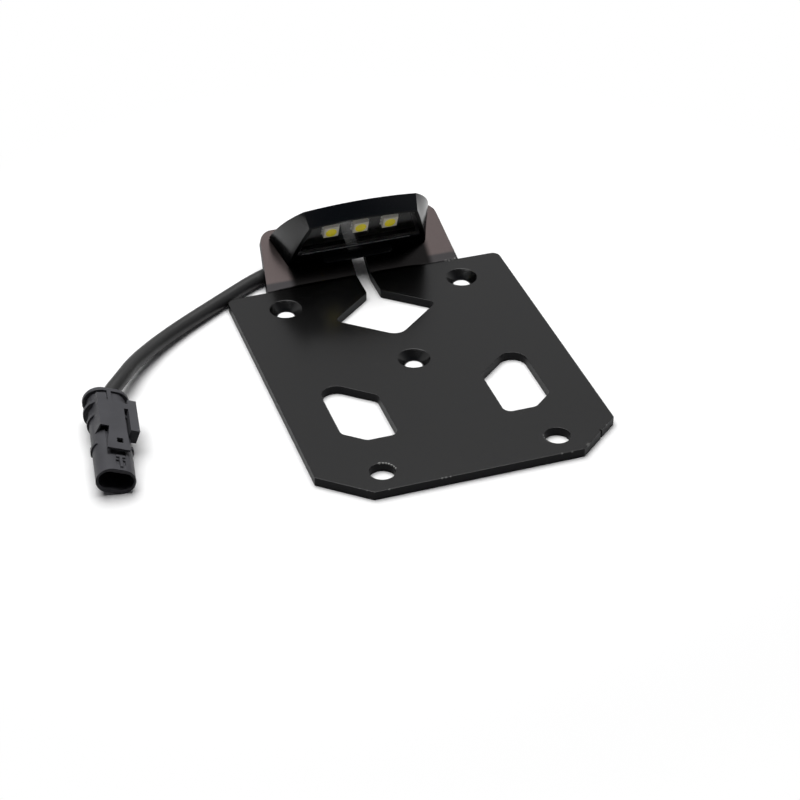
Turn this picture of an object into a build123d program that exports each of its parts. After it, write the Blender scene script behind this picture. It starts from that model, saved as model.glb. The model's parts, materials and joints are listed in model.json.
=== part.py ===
from build123d import *
import os
from math import asin, cos, degrees, radians, sin, tan

os.makedirs("parts", exist_ok=True)

# Folded sheet: the origin is on the centre hole's axis, at the underside
sheet = 3.0
plate_width = 94.0
plate_length = 111.7
far_edge = 50.9
diagonal = 40.0
corner_cut = 14.4
far_corner_radius = 2.5
fit = 0.05

# Screw holes in the flat
bore = 5.5
countersink = 10.4
countersink_angle = 90
far_hole_x = 30.2
far_hole_y = 39.8
near_bore = 7.9
near_hole_x = 27.4
near_hole_y = -52.1

# Diamond that the connector passes through, and the slot that leads to the lamp
diamond_y = 28.2
diamond_width = 34.5
diamond_side_radius = 2.0
diamond_tip_radius = 4.5
slot_width = 4.8
slot_root_radius = 1.0

# Lightening cut-outs, one on each side
cutout_outer = 33.4
cutout_inner = 16.9
cutout_floor = -36.2
cutout_peak = -1.3
cutout_corner = 6.5
cutout_peak_radius = 4.6
cutout_shoulder_radius = 2.0
cutout_radius = 2.6

# Worn nick in the edge of the right chamfer
nick_x = 40.8
nick_width = 0.7
nick_depth = 0.6

# Flange folded up along the far edge
bend_angle = 31.5
bend_radius = 2.0
flange_foot = 66.0
flange_length = 21.5
flange_taper = 7.3
flange_corner_radius = 4.5

# Lamp hood: a raked front, a rear section that leans over it, and a shallow back
gasket_thickness = 0.6
gasket_inset = 0.4
lamp_front = 7.6
lamp_rear = 18.6
back_depth = 1.8
back_inset = 4.5
back_drop = 9.0
lens_lean = 7.2
rear_lean = -9.0
front_foot = 47.8
front_brow = 36.8
front_height = 18.7
front_crown = 1.15
front_bulge = 0.6
rear_foot = 55.2
rear_brow = 38.2
rear_height = 20.5
rear_crown = 2.5
rear_bulge = 3.2

# Lens, its seal and the board behind it, as depths from the raked front
lens_sill = 4.0
lens_side_rim = 1.2
lens_top_rim = 0.8
lens_recess = 0.4
lens_thickness = 1.2
lens_clearance = 0.1
seal_thickness = 0.3
seal_width = 1.0
board_thickness = 1.2
board_clearance = 0.2

# Light-emitting diodes and resistors
led_count = 3
led_pitch = 10.1
led_height_up = 12.8
led_size = 5.0
led_thickness = 1.5
led_gap = 0.15
phosphor_width = 3.8
phosphor_height = 4.2
phosphor_drop = 0.25
phosphor_depth = 0.35
lead_length = 0.5
lead_width = 0.9
lead_pitch = 1.6
lead_thickness = 0.25
resistor_length = 3.2
resistor_width = 1.6
resistor_thickness = 0.6
resistor_height_up = 8.2

# Screws from behind the flange, with washers and brass inserts
screw_x = 15.0
screw_up = 13.0
screw = 4.0
screw_hole = 4.5
screw_head = 7.6
screw_head_height = 2.2
screw_head_chamfer = 1.2
screw_reach = 8.0
hex_key = 2.5
hex_depth = 1.3
washer = 9.0
washer_thickness = 0.8
insert = 5.6
insert_length = 4.2

# Lead: grommet, cores and sheath
cable = 4.8
cable_sides = 16
cable_up = 15.0
grommet_collar = 7.2
grommet_collar_height = 2.4
grommet_neck = 6.0
grommet_hole = 6.4
grommet_proud = 0.2
core = 1.2
core_spacing = 1.8
core_way = 4.4
core_height_up = 7.0
core_end_gap = 1.0
core_clearance = 0.01
exit_run = 6.7
exit_bend_radius = 5.6
cable_height = 2.45
entry_run = 5.5
arc_share = 0.45

# Connector: it rests on its mouth and on its rear rib, the mouth towards the viewer
connector_x = -102.3
connector_y = -34.65
connector_heading = 7.8
connector_roll = 20.3
barrel_width = 11.8
barrel_height = 8.9
mouth_width = 10.5
mouth_height = 6.2
mouth_raise = 0.15
mouth_depth = 15.0
body_length = 37.4

# Top block with a pocket in its front, and the latch tongue over a relief in the barrel
block_left = -4.85
block_flare = 0.6
block_foot = 1.8
block_step = -1.85
block_right = 3.1
block_top = 6.0
block_front = 18.3
block_rear = 34.0
block_step_rear = 30.5
pocket_left = -4.5
pocket_foot = 3.0
pocket_width = 2.2
pocket_height = 2.5
pocket_depth = 5.0
tongue_root_left = -2.2
tongue_tip_left = -3.5
tongue_tip_right = 3.4
tongue_front = 7.9
tongue_thickness = 0.7
tongue_hole_width = 1.9
tongue_hole_length = 2.2
tongue_hole_x = 0.6
tongue_hole_back = 12.0
relief_left = -3.0
relief_width = 5.4
relief_front = 6.7
relief_depth = 0.65

# Clip rail, bridge, key, ribs and lugs of the connector
rail_left = 4.45
rail_width = 2.75
rail_foot = 1.5
rail_front = 17.8
rail_length = 14.8
rail_tie_front = 28.0
rail_tie_thickness = 1.4
bridge_x = -0.7
bridge_width = 1.2
bridge_top = 5.4
key_x = 0.5
key_width = 2.75
key_bar = 0.85
key_stem = 0.78
key_height = 0.5
key_sink = 0.3
key_back = 6.25
key_front = 1.1
key_pocket_width = 1.1
key_pocket_length = 2.4
key_pocket_back = 3.45
key_pocket_depth = 0.6
rear_rib_width = 14.6
rear_rib_height = 10.8
rear_rib_back = 31.0
front_rib_grow = 0.6
front_rib_back = 26.0
rib_thickness = 1.2
lug_back = 13.0
lug_grow = 0.5
lug_height = 5.4

# Rear cap, wire seal and terminals of the connector
cap_width = 14.3
cap_height = 10.3
cap_length = 1.5
cap_seat = 0.5
cap_cable_hole = 7.4
seal_width_across = 8.8
seal_height = 5.8
seal_length = 4.0
seal_set_back = 0.3
terminal_spacing = 5.0
tab_width = 1.5
tab_thickness = 0.8
tab_set_back = 6.5
terminal_barrel = 2.0
terminal_bore = 2.2
carrier_thickness = 2.0

# Places that several pieces share
near_edge = far_edge - plate_length
slope = tan(radians(diagonal))
diamond_rise = diamond_width / 2 * slope
fold = radians(bend_angle)
flange = Plane(
    origin=(0, far_edge + bend_radius * sin(fold), sheet + bend_radius * (1 - cos(fold))),
    x_dir=(1, 0, 0),
    z_dir=(0, -sin(fold), cos(fold)),
)
lamp_base = flange.offset(gasket_thickness)
lamp_face = Plane(lamp_base.location * Pos(0, lamp_front, 0) * Rot(X=90 - lens_lean))
hood_rear = Plane(lamp_base.location * Pos(0, lamp_rear, 0) * Rot(X=90 - rear_lean))
hood_back = Plane(lamp_base.location * Pos(0, lamp_rear + back_depth, 0) * Rot(X=90 - rear_lean))
back_foot = rear_foot - 2 * back_inset
back_brow = rear_brow - 2 * back_inset
back_height = rear_height - back_drop
lens_back = lens_recess + lens_thickness
ledge_depth = lens_back + seal_thickness
board_front = lens_back + led_gap + led_thickness
board_back = board_front + board_thickness
core_foot = lamp_base.from_local_coords((0, cable_up, grommet_collar_height))
core_top = lamp_face.from_local_coords((0, core_height_up, -board_back))
core_plane = Plane(core_foot, x_dir=(1, 0, 0), z_dir=core_top - core_foot)
core_run = (core_top - core_foot).length
head_seat = flange.offset(-sheet - washer_thickness)


def rest_height(width, height):
    """Height of a rolled obround's axis when it touches the floor."""
    return height / 2 + (width - height) / 2 * sin(radians(connector_roll))


barrel_rest = rest_height(barrel_width, barrel_height)
rib_rest = rest_height(rear_rib_width, rear_rib_height)
connector_pitch = degrees(asin((rib_rest - barrel_rest) / rear_rib_back))
mouth = Plane(
    Location((connector_x, connector_y, barrel_rest))
    * Rot(Z=-connector_heading)
    * Rot(X=90 + connector_pitch)
    * Rot(Z=-connector_roll)
)
tongue_plane = Plane(mouth.location * Rot(X=-90)).offset(block_top)
barrel_top = tongue_plane.offset(barrel_height / 2 - block_top)
cap_front = body_length - cap_seat
cap_rear = cap_front + cap_length
seal_rear = body_length - seal_set_back
terminal_length = seal_rear - seal_length - mouth_depth
screw_places = [(-screw_x, screw_up), (screw_x, screw_up)]
led_across = [(i - (led_count - 1) / 2) * led_pitch for i in range(led_count)]
led_places = [(x, led_height_up) for x in led_across]
phosphor_places = [(x, led_height_up - phosphor_drop) for x in led_across]
resistor_places = [(x + led_pitch / 2, resistor_height_up) for x in led_across[:-1]]


def hood_section(foot, brow, height, crown, bulge):
    """Face of one lamp hood section: a flat foot, sides that draw in and an arched brow."""
    pull_x = (foot + brow) / 4 + bulge
    pull_y = height / 2 + bulge
    with BuildSketch() as section:
        with BuildLine():
            base = Line((-foot / 2, 0), (foot / 2, 0))
            right = Bezier(base @ 1, (pull_x, pull_y), (brow / 2, height))
            arch = ThreePointArc(right @ 1, (0, height + crown), (-brow / 2, height))
            Bezier(arch @ 1, (-pull_x, pull_y), base @ 0)
        make_face()
    return section.sketch


def lens_section(grow):
    """Face of the lens outline, larger all round by grow."""
    draw_in = (front_foot - front_brow) / 2 / front_height
    top = front_height - lens_top_rim
    foot = front_foot / 2 - lens_side_rim - draw_in * lens_sill
    brow = front_foot / 2 - lens_side_rim - draw_in * top
    with BuildSketch() as section:
        with BuildLine():
            base = Line((-foot, lens_sill), (foot, lens_sill))
            right = Line(base @ 1, (brow, top))
            arch = ThreePointArc(right @ 1, (0, top + front_crown), (-brow, top))
            Line(arch @ 1, base @ 0)
        make_face()
        offset(amount=grow, kind=Kind.INTERSECTION)
    return section.sketch


# Folded sheet with its holes
with BuildPart() as mount_plate:
    with BuildSketch() as outline:
        with BuildLine():
            Polyline(
                (-plate_width / 2, far_edge),
                (-plate_width / 2, near_edge + corner_cut * slope),
                (-plate_width / 2 + corner_cut, near_edge),
                (plate_width / 2 - corner_cut, near_edge),
                (plate_width / 2, near_edge + corner_cut * slope),
                (plate_width / 2, far_edge),
                close=True,
            )
        make_face()
        fillet(outline.vertices().group_by(Axis.Y)[-1], far_corner_radius)
    extrude(amount=sheet)
    with BuildSketch(Plane.YZ):
        with BuildLine():
            centre = (far_edge, sheet + bend_radius)
            inner = CenterArc(centre, bend_radius, -90, bend_angle)
            outer = CenterArc(centre, bend_radius + sheet, -90, bend_angle)
            Line(inner @ 0, outer @ 0)
            Line(inner @ 1, outer @ 1)
        make_face()
    extrude(amount=flange_foot / 2, both=True)
    with BuildSketch(flange) as leaf:
        top_half = flange_foot / 2 - flange_length * tan(radians(flange_taper))
        with BuildLine():
            Polyline(
                (-flange_foot / 2, 0),
                (flange_foot / 2, 0),
                (top_half, flange_length),
                (-top_half, flange_length),
                close=True,
            )
        make_face()
        fillet(leaf.vertices().sort_by(Axis.Y)[-2:], flange_corner_radius)
    extrude(amount=-sheet)

    # Diamond and slot, drawn as one opening in the flat
    with BuildSketch() as opening:
        slot_root = diamond_y + diamond_rise - slot_width / 2 * slope
        slot_end = far_edge + bend_radius
        with BuildLine():
            Polyline(
                (0, diamond_y - diamond_rise),
                (diamond_width / 2, diamond_y),
                (slot_width / 2, slot_root),
                (slot_width / 2, slot_end),
                (-slot_width / 2, slot_end),
                (-slot_width / 2, slot_root),
                (-diamond_width / 2, diamond_y),
                close=True,
            )
        make_face()
        fillet(opening.vertices().sort_by(Axis.Y)[0], diamond_tip_radius)
        by_width = opening.vertices().sort_by(Axis.X)
        fillet([by_width[0], by_width[-1]], diamond_side_radius)
        fillet(opening.vertices().group_by(Axis.Y)[-2], slot_root_radius)
    extrude(amount=sheet + bend_radius, mode=Mode.SUBTRACT)
    with BuildSketch(flange):
        with Locations((0, cable_up)):
            Rectangle(slot_width, cable_up + sheet, align=(Align.CENTER, Align.MAX))
        with Locations((0, cable_up)):
            Circle(grommet_hole / 2)
        with Locations(screw_places):
            Circle(screw_hole / 2)
    extrude(amount=-sheet, mode=Mode.SUBTRACT)

    # Lightening cut-outs
    with BuildSketch() as cutouts:
        shoulder = cutout_peak - (cutout_outer - cutout_inner) * slope
        with BuildLine():
            Polyline(
                (cutout_outer, cutout_peak),
                (cutout_inner, shoulder),
                (cutout_inner, cutout_floor),
                (cutout_outer - cutout_corner, cutout_floor),
                (cutout_outer, cutout_floor + cutout_corner * slope),
                close=True,
            )
        make_face()
        fillet(cutouts.vertices().sort_by(Axis.Y)[-1], cutout_peak_radius)
        fillet(cutouts.vertices().group_by(Axis.X)[0].sort_by(Axis.Y)[-1], cutout_shoulder_radius)
        fillet(cutouts.vertices().sort_by(Axis.Y)[:3], cutout_radius)
        mirror(about=Plane.YZ)
    extrude(amount=sheet, mode=Mode.SUBTRACT)

    # Nick in the right chamfer
    nick_y = near_edge + (nick_x - plate_width / 2 + corner_cut) * slope
    with BuildSketch(Plane(Location((nick_x, nick_y, 0), (0, 0, diagonal)))):
        Rectangle(nick_width, 2 * nick_depth)
    extrude(amount=sheet, mode=Mode.SUBTRACT)

    # Screw holes
    with Locations((0, 0, sheet), (-far_hole_x, far_hole_y, sheet), (far_hole_x, far_hole_y, sheet)):
        CounterSinkHole(bore / 2, countersink / 2, counter_sink_angle=countersink_angle)
    with Locations((-near_hole_x, near_hole_y, sheet), (near_hole_x, near_hole_y, sheet)):
        Hole(near_bore / 2)
mount_plate.part.label = "mount_plate"
export_step(mount_plate.part, "parts/mount_plate.step")


# Lamp hood, hollow behind the lens and over the grommet
with BuildPart() as lamp_housing:
    with BuildSketch(lamp_face):
        add(hood_section(front_foot, front_brow, front_height, front_crown, front_bulge))
    with BuildSketch(hood_rear):
        add(hood_section(rear_foot, rear_brow, rear_height, rear_crown, rear_bulge))
    loft(ruled=True)
    with BuildSketch(hood_rear):
        add(hood_section(rear_foot, rear_brow, rear_height, rear_crown, rear_bulge))
    with BuildSketch(hood_back):
        add(hood_section(back_foot, back_brow, back_height, rear_crown, rear_bulge))
    loft(ruled=True)
    with BuildSketch(lamp_face):
        add(lens_section(lens_clearance))
    extrude(amount=-ledge_depth, mode=Mode.SUBTRACT)
    with BuildSketch(lamp_face):
        add(lens_section(-seal_width))
    extrude(amount=-board_back, mode=Mode.SUBTRACT)
    with BuildSketch(lamp_base):
        with Locations((0, cable_up)):
            Circle(grommet_collar / 2 + fit)
    extrude(amount=grommet_collar_height, mode=Mode.SUBTRACT)
    with BuildSketch(lamp_base):
        with Locations(screw_places):
            Circle(insert / 2 + fit)
    extrude(amount=insert_length + fit, mode=Mode.SUBTRACT)
    with BuildSketch(core_plane.offset(-core_end_gap)):
        Circle(core_way / 2)
    extrude(amount=core_run + 2 * core_end_gap, mode=Mode.SUBTRACT)
lamp_housing.part.label = "lamp_housing"
export_step(lamp_housing.part, "parts/lamp_housing.step")

# Clear lens and the bead that seals it
with BuildPart() as lamp_lens:
    with BuildSketch(lamp_face.offset(-lens_recess)):
        add(lens_section(0))
    extrude(amount=-lens_thickness)
lamp_lens.part.label = "lamp_lens"
export_step(lamp_lens.part, "parts/lamp_lens.step")

with BuildPart() as lens_seal:
    with BuildSketch(lamp_face.offset(-lens_back)):
        add(lens_section(0))
    extrude(amount=-seal_thickness)
    with BuildSketch(lamp_face.offset(-lens_back)):
        add(lens_section(-seal_width))
    extrude(amount=-seal_thickness, mode=Mode.SUBTRACT)
lens_seal.part.label = "lens_seal"
export_step(lens_seal.part, "parts/lens_seal.step")

# Board, its diodes and resistors
with BuildPart() as led_board:
    with BuildSketch(lamp_face.offset(-board_front)):
        add(lens_section(-seal_width - board_clearance))
    extrude(amount=-board_thickness)
led_board.part.label = "led_board"
export_step(led_board.part, "parts/led_board.step")

with BuildPart() as led_packages:
    with BuildSketch(lamp_face.offset(-board_front)):
        with Locations(led_places):
            Rectangle(led_size, led_size)
    extrude(amount=led_thickness)
    with BuildSketch(lamp_face.offset(led_thickness - board_front)):
        with Locations(phosphor_places):
            Ellipse(phosphor_width / 2, phosphor_height / 2)
    extrude(amount=-phosphor_depth, mode=Mode.SUBTRACT)
led_packages.part.label = "led_packages"
export_step(led_packages.part, "parts/led_packages.step")

with BuildPart() as led_phosphors:
    with BuildSketch(lamp_face.offset(led_thickness - board_front - phosphor_depth)):
        with Locations(phosphor_places):
            Ellipse(phosphor_width / 2 - fit, phosphor_height / 2 - fit)
    extrude(amount=phosphor_depth)
led_phosphors.part.label = "led_phosphors"
export_step(led_phosphors.part, "parts/led_phosphors.step")

with BuildPart() as led_leads:
    with BuildSketch(lamp_face.offset(-board_front)):
        with Locations(led_places):
            with GridLocations(led_size + lead_length, lead_pitch, 2, 3):
                Rectangle(lead_length, lead_width)
    extrude(amount=lead_thickness)
led_leads.part.label = "led_leads"
export_step(led_leads.part, "parts/led_leads.step")

with BuildPart() as board_resistors:
    with BuildSketch(lamp_face.offset(-board_front)):
        with Locations(resistor_places):
            Rectangle(resistor_length, resistor_width)
    extrude(amount=resistor_thickness)
board_resistors.part.label = "board_resistors"
export_step(board_resistors.part, "parts/board_resistors.step")

# Gasket between the lamp and the flange
with BuildPart() as base_gasket:
    with BuildSketch(flange):
        with BuildLine():
            Polyline(
                (-front_foot / 2, lamp_front),
                (front_foot / 2, lamp_front),
                (rear_foot / 2, lamp_rear),
                (rear_foot / 2 - back_inset, lamp_rear + back_depth),
                (back_inset - rear_foot / 2, lamp_rear + back_depth),
                (-rear_foot / 2, lamp_rear),
                close=True,
            )
        make_face()
        offset(amount=-gasket_inset)
        with Locations(screw_places):
            Circle(screw_hole / 2, mode=Mode.SUBTRACT)
        with Locations((0, cable_up)):
            Circle(grommet_hole / 2, mode=Mode.SUBTRACT)
    extrude(amount=gasket_thickness)
base_gasket.part.label = "base_gasket"
export_step(base_gasket.part, "parts/base_gasket.step")

# Brass inserts, screws and washers
with BuildPart() as threaded_inserts:
    with BuildSketch(lamp_base):
        with Locations(screw_places):
            Circle(insert / 2)
            Circle(screw / 2 + fit, mode=Mode.SUBTRACT)
    extrude(amount=insert_length)
threaded_inserts.part.label = "threaded_inserts"
export_step(threaded_inserts.part, "parts/threaded_inserts.step")

with BuildPart() as screw_washers:
    with BuildSketch(flange.offset(-sheet)):
        with Locations(screw_places):
            Circle(washer / 2)
            Circle(screw_hole / 2, mode=Mode.SUBTRACT)
    extrude(amount=-washer_thickness)
screw_washers.part.label = "screw_washers"
export_step(screw_washers.part, "parts/screw_washers.step")

with BuildPart() as lamp_screws:
    with BuildSketch(head_seat):
        with Locations(screw_places):
            Circle(screw_head / 2)
    extrude(amount=-screw_head_height)
    rims = lamp_screws.edges().filter_by(GeomType.CIRCLE).group_by(Axis(flange.origin, flange.z_dir))[0]
    chamfer(rims, screw_head_chamfer)
    with BuildSketch(head_seat.offset(-screw_head_height)):
        with Locations(screw_places):
            RegularPolygon(hex_key / 2, 6, major_radius=False)
    extrude(amount=hex_depth, mode=Mode.SUBTRACT)
    with BuildSketch(head_seat):
        with Locations(screw_places):
            Circle(screw / 2)
    extrude(amount=screw_reach)
lamp_screws.part.label = "lamp_screws"
export_step(lamp_screws.part, "parts/lamp_screws.step")

# Grommet in the keyhole, and the two cores above it, which stop short of the board
with BuildPart() as cable_grommet:
    with BuildSketch(lamp_base):
        with Locations((0, cable_up)):
            Circle(grommet_collar / 2)
    extrude(amount=grommet_collar_height)
    with BuildSketch(lamp_base):
        with Locations((0, cable_up)):
            Circle(grommet_neck / 2)
    extrude(amount=-gasket_thickness - sheet - grommet_proud)
cable_grommet.part.label = "cable_grommet"
export_step(cable_grommet.part, "parts/cable_grommet.step")

with BuildPart() as core_wires:
    with BuildSketch(core_plane.offset(core_end_gap)):
        with GridLocations(core_spacing, 0, 2, 1):
            Circle(core / 2)
    extrude(amount=core_run - 2 * core_end_gap)
    with BuildSketch(lamp_face.offset(-board_back - core_clearance)):
        Rectangle(front_foot, 2 * front_height)
    extrude(amount=core_end_gap, mode=Mode.SUBTRACT)
core_wires.part.label = "core_wires"
export_step(core_wires.part, "parts/core_wires.step")


# Connector housing: barrel, block, latch tongue over its relief, clip rail, key, ribs and lugs
with BuildPart() as connector_housing:
    with BuildSketch(mouth):
        SlotOverall(barrel_width, barrel_height)
    extrude(amount=-body_length)
    with BuildSketch(mouth.offset(-block_front)):
        with BuildLine():
            Polyline(
                (block_left, block_top),
                (block_left - block_flare, block_foot),
                (block_step, 0),
                (block_step, block_top),
                close=True,
            )
        make_face()
    extrude(amount=block_front - block_rear)
    with BuildSketch(mouth.offset(-block_front)):
        with Locations((block_step, 0)):
            Rectangle(block_right - block_step, block_top, align=Align.MIN)
    extrude(amount=block_front - block_step_rear)
    with BuildSketch(mouth.offset(-block_front)):
        with Locations((pocket_left, pocket_foot)):
            Rectangle(pocket_width, pocket_height, align=Align.MIN)
    extrude(amount=-pocket_depth, mode=Mode.SUBTRACT)
    with BuildSketch(barrel_top):
        with Locations((relief_left, relief_front)):
            Rectangle(relief_width, block_front - relief_front, align=Align.MIN)
    extrude(amount=-relief_depth, mode=Mode.SUBTRACT)
    with BuildSketch(tongue_plane):
        with BuildLine():
            Polyline(
                (tongue_root_left, block_front),
                (tongue_tip_left, tongue_front),
                (tongue_tip_right, tongue_front),
                (block_right, block_front),
                close=True,
            )
        make_face()
        with Locations((tongue_hole_x, tongue_hole_back)):
            Rectangle(tongue_hole_width, tongue_hole_length, mode=Mode.SUBTRACT)
    extrude(amount=-tongue_thickness)
    with BuildSketch(mouth.offset(-rail_front)):
        with Locations((rail_left, rail_foot)):
            Rectangle(rail_width, block_top - rail_foot, align=Align.MIN)
    extrude(amount=-rail_length)
    with BuildSketch(mouth.offset(-rail_tie_front)):
        with Locations((block_right, block_top)):
            Rectangle(rail_left - block_right, rail_tie_thickness, align=(Align.MIN, Align.MAX))
    extrude(amount=rail_tie_front - block_step_rear)
    with BuildSketch(mouth.offset(-block_step_rear)):
        with Locations((bridge_x, 0)):
            Rectangle(bridge_width, bridge_top, align=(Align.CENTER, Align.MIN))
    extrude(amount=block_step_rear - cap_front)
    with BuildSketch(barrel_top.offset(-key_sink)):
        with Locations((key_x, key_back)):
            Rectangle(key_width, key_bar, align=(Align.CENTER, Align.MAX))
        with Locations((key_x, key_front)):
            Rectangle(key_stem, key_back - key_front, align=(Align.CENTER, Align.MIN))
    extrude(amount=key_sink + key_height)
    with BuildSketch(barrel_top):
        with Locations((key_x, key_pocket_back)):
            with GridLocations(key_stem + key_pocket_width, 0, 2, 1):
                Rectangle(key_pocket_width, key_pocket_length)
    extrude(amount=-key_pocket_depth, mode=Mode.SUBTRACT)
    with BuildSketch(mouth.offset(-rear_rib_back)):
        SlotOverall(rear_rib_width, rear_rib_height)
    extrude(amount=-rib_thickness)
    with BuildSketch(mouth.offset(-front_rib_back)):
        SlotOverall(barrel_width + 2 * front_rib_grow, barrel_height + 2 * front_rib_grow)
    extrude(amount=-rib_thickness)
    with BuildSketch(mouth.offset(-lug_back)):
        SlotOverall(barrel_width + 2 * lug_grow, barrel_height + 2 * lug_grow)
        Rectangle(barrel_width + 2 * lug_grow, lug_height, mode=Mode.INTERSECT)
    extrude(amount=-rib_thickness)
    with BuildSketch(mouth):
        with Locations((0, mouth_raise)):
            SlotOverall(mouth_width, mouth_height)
    extrude(amount=-mouth_depth, mode=Mode.SUBTRACT)
    with BuildSketch(mouth.offset(-body_length)):
        SlotOverall(seal_width_across, seal_height)
    extrude(amount=seal_length + seal_set_back, mode=Mode.SUBTRACT)
    with BuildSketch(mouth.offset(-mouth_depth)):
        with GridLocations(terminal_spacing, 0, 2, 1):
            Circle(terminal_bore / 2)
    extrude(amount=-terminal_length, mode=Mode.SUBTRACT)
connector_housing.part.label = "connector_housing"
export_step(connector_housing.part, "parts/connector_housing.step")

# Rear cap, seated on the body's end, with a wide hole for the sheath
with BuildPart() as connector_rear_cap:
    with BuildSketch(mouth.offset(-cap_rear)):
        SlotOverall(cap_width, cap_height)
        Circle(cap_cable_hole / 2, mode=Mode.SUBTRACT)
    extrude(amount=cap_length)
    with BuildSketch(mouth.offset(-cap_front)):
        SlotOverall(barrel_width + 2 * fit, barrel_height + 2 * fit)
    extrude(amount=-cap_seat, mode=Mode.SUBTRACT)
connector_rear_cap.part.label = "connector_rear_cap"
export_step(connector_rear_cap.part, "parts/connector_rear_cap.step")

# Wire seal, terminal carrier and the two tab terminals
with BuildPart() as wire_seal:
    with BuildSketch(mouth.offset(-seal_rear)):
        SlotOverall(seal_width_across - 2 * fit, seal_height - 2 * fit)
    extrude(amount=seal_length)
wire_seal.part.label = "wire_seal"
export_step(wire_seal.part, "parts/wire_seal.step")

with BuildPart() as terminal_carrier:
    with BuildSketch(mouth.offset(-mouth_depth)):
        with Locations((0, mouth_raise)):
            SlotOverall(mouth_width - 2 * fit, mouth_height - 2 * fit)
        with GridLocations(terminal_spacing, 0, 2, 1):
            Rectangle(tab_width + 2 * fit, tab_thickness + 2 * fit, mode=Mode.SUBTRACT)
    extrude(amount=carrier_thickness)
terminal_carrier.part.label = "terminal_carrier"
export_step(terminal_carrier.part, "parts/terminal_carrier.step")

with BuildPart() as connector_terminals:
    with BuildSketch(mouth.offset(-mouth_depth)):
        with GridLocations(terminal_spacing, 0, 2, 1):
            Circle(terminal_barrel / 2)
    extrude(amount=-terminal_length)
    with BuildSketch(mouth.offset(-mouth_depth)):
        with GridLocations(terminal_spacing, 0, 2, 1):
            Rectangle(tab_width, tab_thickness)
    extrude(amount=mouth_depth - tab_set_back)
connector_terminals.part.label = "connector_terminals"
export_step(connector_terminals.part, "parts/connector_terminals.step")

# Sheathed lead, from the grommet over the floor to the wire seal
exit_point = flange.from_local_coords((0, cable_up, -sheet - grommet_proud))
exit_corner = flange.from_local_coords((0, cable_up, -sheet - grommet_proud - exit_run))
route = [
    exit_point,
    exit_corner,
    Vector(-11.7, 69.5, cable_height),
    Vector(-32.2, 62.3, cable_height),
    Vector(-48.0, 52.8, cable_height),
    Vector(-69.4, 37.1, 2.95),
    Vector(-85.6, 22.3, 4.7),
    Vector(-93.3, 13.8, 6.3),
    mouth.from_local_coords((0, 0, -seal_rear - entry_run)),
    mouth.from_local_coords((0, 0, -seal_rear)),
]
radii = [exit_bend_radius]
for before, corner, after in zip(route[1:], route[2:], route[3:]):
    turn = (corner - before).get_angle(after - corner)
    shorter = min((corner - before).length, (after - corner).length)
    radii.append(arc_share * shorter / tan(radians(turn / 2)))
print("lead route", [[round(value, 3) for value in point] for point in route])
print("lead bend radii", [round(radius, 1) for radius in radii])
with BuildPart() as cable_sheath:
    with BuildLine() as lead_line:
        FilletPolyline(*route, radius=radii)
    with BuildSketch(Plane(exit_point, z_dir=exit_corner - exit_point)):
        RegularPolygon(cable / 2, cable_sides)
    sweep(path=lead_line.wire())
print("lead length", round(lead_line.wire().length, 1))
cable_sheath.part.label = "cable_sheath"
export_step(cable_sheath.part, "parts/cable_sheath.step")
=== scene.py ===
"""Looks of a number-plate bracket: its coat, its lamp, its lead and connector, and the studio round them."""
import json
import logging
from collections.abc import Callable
from dataclasses import dataclass
from enum import Enum
from math import cos, pi, radians, sin

import bpy
from mathutils import Matrix, Vector


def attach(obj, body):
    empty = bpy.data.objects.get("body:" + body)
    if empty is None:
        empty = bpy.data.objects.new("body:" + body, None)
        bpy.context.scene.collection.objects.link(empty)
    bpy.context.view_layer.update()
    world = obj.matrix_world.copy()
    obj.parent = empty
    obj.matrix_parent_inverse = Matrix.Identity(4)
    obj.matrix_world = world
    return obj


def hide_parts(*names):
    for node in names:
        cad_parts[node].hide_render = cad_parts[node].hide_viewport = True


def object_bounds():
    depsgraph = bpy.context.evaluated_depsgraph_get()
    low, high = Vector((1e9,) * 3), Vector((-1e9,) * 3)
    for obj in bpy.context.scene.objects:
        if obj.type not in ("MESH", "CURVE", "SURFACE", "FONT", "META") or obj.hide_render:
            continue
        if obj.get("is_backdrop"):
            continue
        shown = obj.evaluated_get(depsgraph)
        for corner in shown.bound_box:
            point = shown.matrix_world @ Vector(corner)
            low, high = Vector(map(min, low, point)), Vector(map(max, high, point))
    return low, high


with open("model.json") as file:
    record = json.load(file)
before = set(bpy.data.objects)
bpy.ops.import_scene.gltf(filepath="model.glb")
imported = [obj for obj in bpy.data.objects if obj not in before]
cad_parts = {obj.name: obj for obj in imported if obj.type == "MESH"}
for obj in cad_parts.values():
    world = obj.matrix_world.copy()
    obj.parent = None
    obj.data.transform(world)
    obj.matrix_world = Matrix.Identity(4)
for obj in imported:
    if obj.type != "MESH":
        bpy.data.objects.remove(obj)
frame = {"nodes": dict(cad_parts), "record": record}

log = logging.getLogger("bracket")
Colour = tuple[float, float, float]
Place = tuple[float, float, float]
Size = tuple[float, float, float]
Span = tuple[float, float]
Feed = float | tuple[float, ...] | bpy.types.NodeSocket
MM = 0.001
BODY = "root"
FLANGE_FOOT: Place = (0.0, 51.9 * MM, 3.3 * MM)
FLANGE_TILT = 31.5


class Effect(Enum):
    """Surface effects of the finishes, each a shader node group that puts out plain values or a mask."""

    GRAIN = "grain"
    SPECKS = "specks"
    TURNED = "turned rings"
    SPOT = "spot"


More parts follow.
